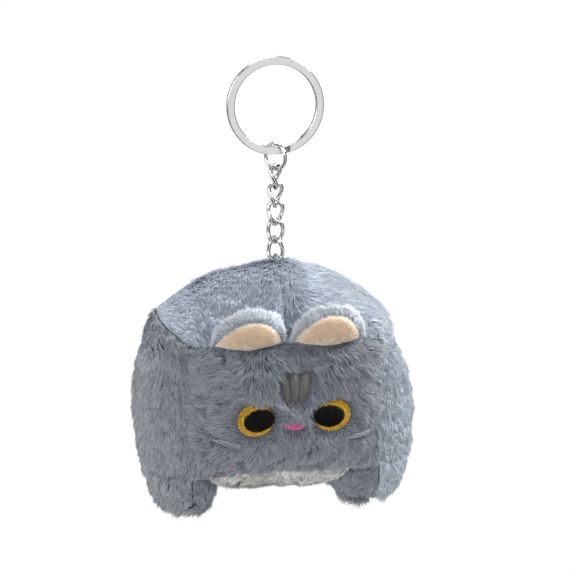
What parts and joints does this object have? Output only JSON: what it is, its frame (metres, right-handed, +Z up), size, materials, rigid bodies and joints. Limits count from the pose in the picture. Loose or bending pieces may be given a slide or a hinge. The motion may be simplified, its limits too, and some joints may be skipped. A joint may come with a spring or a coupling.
{
  "type": "plush keychain",
  "caption": "Stuffed plush cat charm that hangs from a split key ring on a jump ring and a short twisted-link chain.",
  "frame": {"origin": "centre of the split ring", "axes": "+Z up along the hanging chain, -Y the way the cat's face looks and one of the split ring's two flat sides, +X to the viewer's right"},
  "size_m": [0.083, 0.0488, 0.1403],
  "materials": {
    "nickel_steel": "bright nickel-plated steel",
    "grey_plush": "cut-pile polyester plush, blue-grey",
    "light_plush": "cut-pile polyester plush, light blue-grey",
    "white_plush": "short-pile polyester plush, white",
    "beige_lining": "short-pile velboa, beige",
    "fibre_fill": "hollow polyester fibre fill",
    "grey_cord": "braided polyester cord",
    "gold_thread": "satin-stitched rayon thread, golden yellow",
    "black_thread": "satin-stitched thread, black",
    "pink_thread": "satin-stitched rayon thread, pink",
    "olive_thread": "satin-stitched thread, grey-olive",
    "silver_thread": "running-stitched thread, pale grey",
    "red_thread": "single stitch of thread, rose red"
  },
  "bodies": {
    "key_ring": {"split_ring": "nickel_steel"},
    "jump_ring": {"jump_ring": "nickel_steel"},
    "link_1": {"chain_link_1": "nickel_steel"},
    "link_2": {"chain_link_2": "nickel_steel"},
    "link_3": {"chain_link_3": "nickel_steel"},
    "link_4": {"chain_link_4": "nickel_steel"},
    "link_5": {"chain_link_5": "nickel_steel"},
    "cat": {"hang_loop": "grey_cord", "core_stuffing": "fibre_fill", "left_stuffing": "fibre_fill", "right_stuffing": "fibre_fill", "face_panel": "grey_plush", "back_panel": "grey_plush", "top_left_panel": "grey_plush", "top_right_panel": "light_plush", "belly_panel": "white_plush", "left_side_panel": "light_plush", "right_side_panel": "light_plush", "left_foot_gusset": "grey_plush", "right_foot_gusset": "grey_plush", "left_iris": "gold_thread", "left_pupil": "black_thread", "right_iris": "gold_thread", "right_pupil": "black_thread", "nose": "pink_thread", "forehead_stripes": "olive_thread", "left_whisker": "silver_thread", "right_whisker": "silver_thread", "cheek_stitch": "red_thread"},
    "left_ear": {"left_ear_back": "light_plush", "left_ear_lining": "beige_lining"},
    "right_ear": {"right_ear_back": "light_plush", "right_ear_lining": "beige_lining"}
  },
  "joints": [
    {"name": "jump_ring_swing", "type": "hinge", "parent": "key_ring", "child": "jump_ring", "pos_m": [0, 0, -0.0138], "axis": [1, 0, 0], "range_deg": [-40, 40]},
    {"name": "link_1_swing", "type": "hinge", "parent": "jump_ring", "child": "link_1", "pos_m": [0, 0, -0.01953], "axis": [-0.6293, 0.7771, 0], "range_deg": [-35, 35]},
    {"name": "link_2_swing", "type": "hinge", "parent": "link_1", "child": "link_2", "pos_m": [0, 0, -0.02535], "axis": [-0.0349, 0.9994, 0], "range_deg": [-35, 35]},
    {"name": "link_3_swing", "type": "hinge", "parent": "link_2", "child": "link_3", "pos_m": [0, 0, -0.03109], "axis": [-0.3584, -0.9336, 0], "range_deg": [-35, 35]},
    {"name": "link_4_swing", "type": "hinge", "parent": "link_3", "child": "link_4", "pos_m": [0, 0, -0.03683], "axis": [0.6947, 0.7193, 0], "range_deg": [-35, 35]},
    {"name": "link_5_swing", "type": "hinge", "parent": "link_4", "child": "link_5", "pos_m": [0, 0, -0.04257], "axis": [-0.9205, -0.3907, 0], "range_deg": [-35, 35]},
    {"name": "cat_swing", "type": "hinge", "parent": "link_5", "child": "cat", "pos_m": [0, 0, -0.04831], "axis": [1, 0, 0], "range_deg": [-28, 28]},
    {"name": "left_ear_fold", "type": "hinge", "parent": "cat", "child": "left_ear", "pos_m": [-0.0122, -0.0195, -0.06844], "axis": [1, 0, 0], "range_deg": [-12, 45], "stiffness_Nm_per_rad": 0.002},
    {"name": "right_ear_fold", "type": "hinge", "parent": "cat", "child": "right_ear", "pos_m": [0.0122, -0.0195, -0.06844], "axis": [1, 0, 0], "range_deg": [-12, 45], "stiffness_Nm_per_rad": 0.002}
  ]
}
